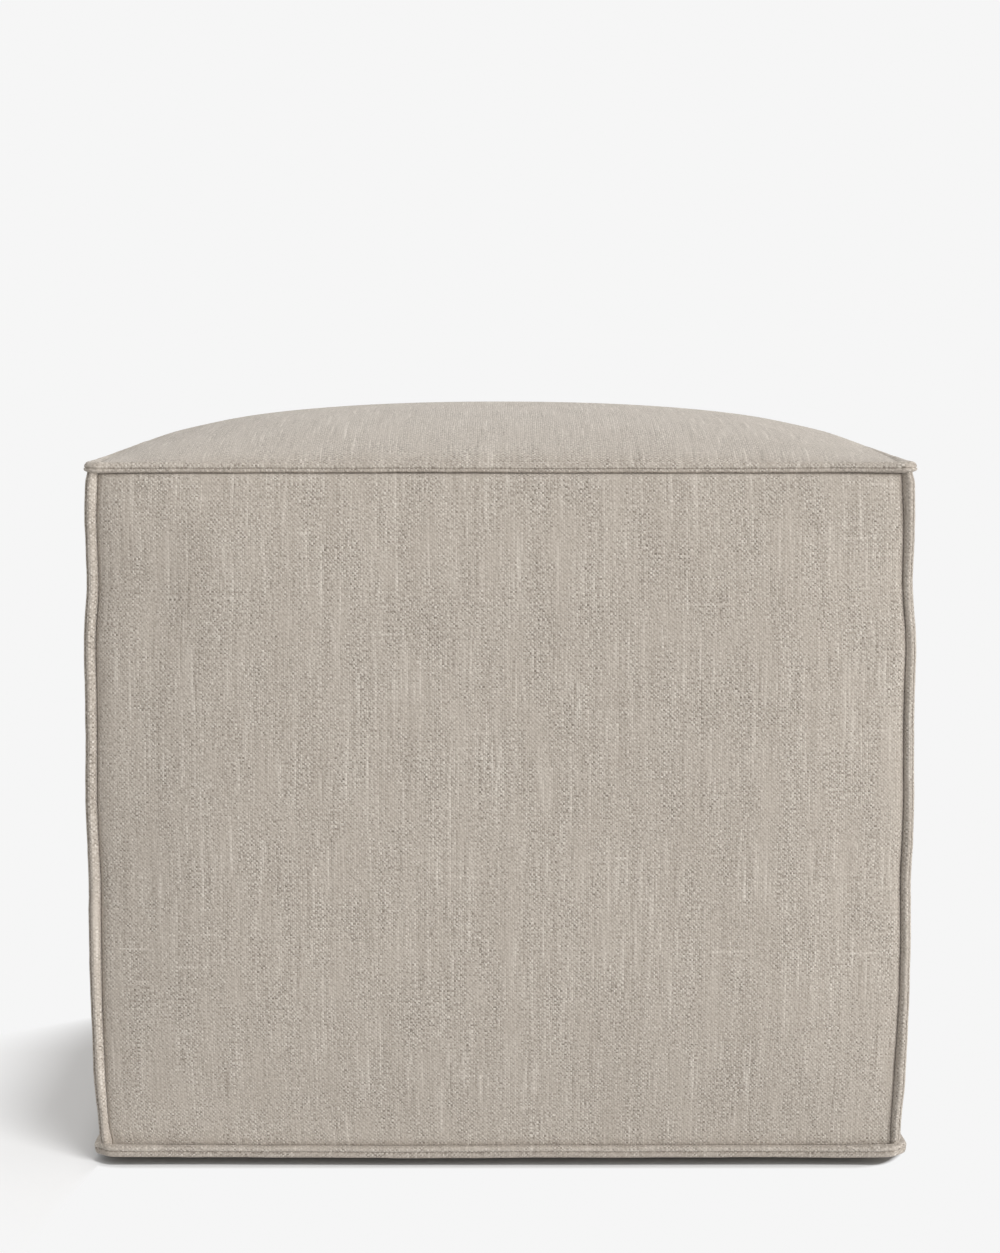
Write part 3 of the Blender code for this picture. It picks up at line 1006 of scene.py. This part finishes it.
# The floor, its shadow and the light all round.
stage = {
    "backdrop": 0.921,  # the pale grey that the floor and the backdrop come out as
    "floor": 0.80,  # how much light the floor gives back
    "around": 0.62,  # soft light from all round
    "thrownBack": 0.54,  # the same towards the pouf
    "rounding": 0.026,  # of the corners of the shadow under it
    "lean": (0.008, 0.2, 0.04),  # how far its front lies to the left, from how far forward, how soon
    "clear": (0.0058, 0.0040),  # how far out the shadow starts to go, and how soon
    "clearLeft": (0.0444, 0.1360),  # what is added to them on the left
    "leftEdge": 0.02,  # within what length the left begins
    "leftBack": (0.02, 0.15),  # how far back it goes, and within what length it ends there
    "size": 60,  # of the floor
}

# Each lamp: how far right of the camera, how high, its strength, how soft, and what it lights.
lamps = {
    "keyLight": (58, 11, 3.28, 50, "pouf"),
    "backLight": (197, 38, 0.75, 40, "pouf"),
    "floorKey": (34, 70, 1.38, 12, "floor"),
    "floorAbove": (200, 87, 0.45, 6, "floor"),
}


def buildFloor():
    bpy.ops.mesh.primitive_plane_add(size=stage["size"])
    floor = bpy.context.object
    floor.name = "floor"
    material = bpy.data.materials.new("paleFloor")
    t = ShaderTree(material)
    x, y, _ = t.split(t.add("ShaderNodeTexCoord", output=3))
    # away from the pouf the floor melts into the backdrop; its shadow is kept longest on the left
    half = cover["halfWidth"] + cover["cornerBow"]
    (start, fade), (leftStart, leftFade) = stage["clear"], stage["clearLeft"]
    (lean, front, frontEdge), (back, backEdge) = stage["lean"], stage["leftBack"]
    straight = half - stage["rounding"]
    offX = (abs(x + ((-y - front) / frontEdge).clamped() * lean) - straight).clamped(0, 9)
    offY = (abs(y) - straight).clamped(0, 9)
    off = (offX * offX + offY * offY) ** 0.5 - stage["rounding"]
    left = ((-x - half) / stage["leftEdge"]).clamped() * (1 - ((y - back) / backEdge).clamped())
    melt = ((off - start - left * leftStart) / (fade + left * leftFade)).clamped()
    seen = t.add("ShaderNodeLightPath")
    grey = t.mix(seen, stage["thrownBack"], stage["floor"])
    matt = t.add("ShaderNodeBsdfDiffuse", None, {"Color": t.vector(grey, grey, grey)})
    plain = t.add("ShaderNodeEmission", None, {"Strength": t.mix(seen, stage["around"], stage["backdrop"])})
    surface = t.add("ShaderNodeMixShader", None, {0: melt, 1: matt, 2: plain})
    t.add("ShaderNodeOutputMaterial", None, {"Surface": surface})
    floor.data.materials.append(material)
    return floor


def buildStage():
    floor = buildFloor()
    # the floor has lamps of its own, so that it stays as pale as the backdrop
    reach = {}
    for kind in ("floor", "pouf"):
        reach[kind] = bpy.data.collections.new(kind + "Lit")
        reach[kind].objects.link(floor)
    reach["pouf"].collection_objects[0].light_linking.link_state = "EXCLUDE"
    world = bpy.data.worlds.new("studio")
    scene.world = world
    world.use_nodes = True
    t = ShaderTree(world)
    seen = t.add("ShaderNodeLightPath")
    strength = t.mix(seen, stage["around"], stage["backdrop"])
    sky = t.add("ShaderNodeBackground", None, {"Color": (1, 1, 1, 1), "Strength": strength})
    t.add("ShaderNodeOutputWorld", None, {"Surface": sky})
    for name, (right, up, strength, soft, lights) in lamps.items():
        lamp = bpy.data.lights.new(name, "SUN")
        lamp.energy, lamp.angle = strength, math.radians(soft)
        holder = newObject(name, lamp)
        holder.rotation_euler = (math.radians(90 - up), 0, math.radians(right))
        holder.light_linking.receiver_collection = reach[lights]
    scene.view_settings.view_transform = "Standard"


# The photo's view: lens and sensor in mm, and how many degrees it looks down.
photoView = {
    "lens": 82.22,
    "sensor": 36,
    "place": (0.00015, -2.002, 0.5281),
    "down": 6.15,
}

buildStage()
lens = bpy.data.cameras.new("camera")
lens.lens, lens.sensor_width, lens.sensor_fit = photoView["lens"], photoView["sensor"], "AUTO"
camera = newObject("camera", lens)
camera.location = photoView["place"]
camera.rotation_euler = (math.radians(90 - photoView["down"]), 0, 0)
scene.camera = camera
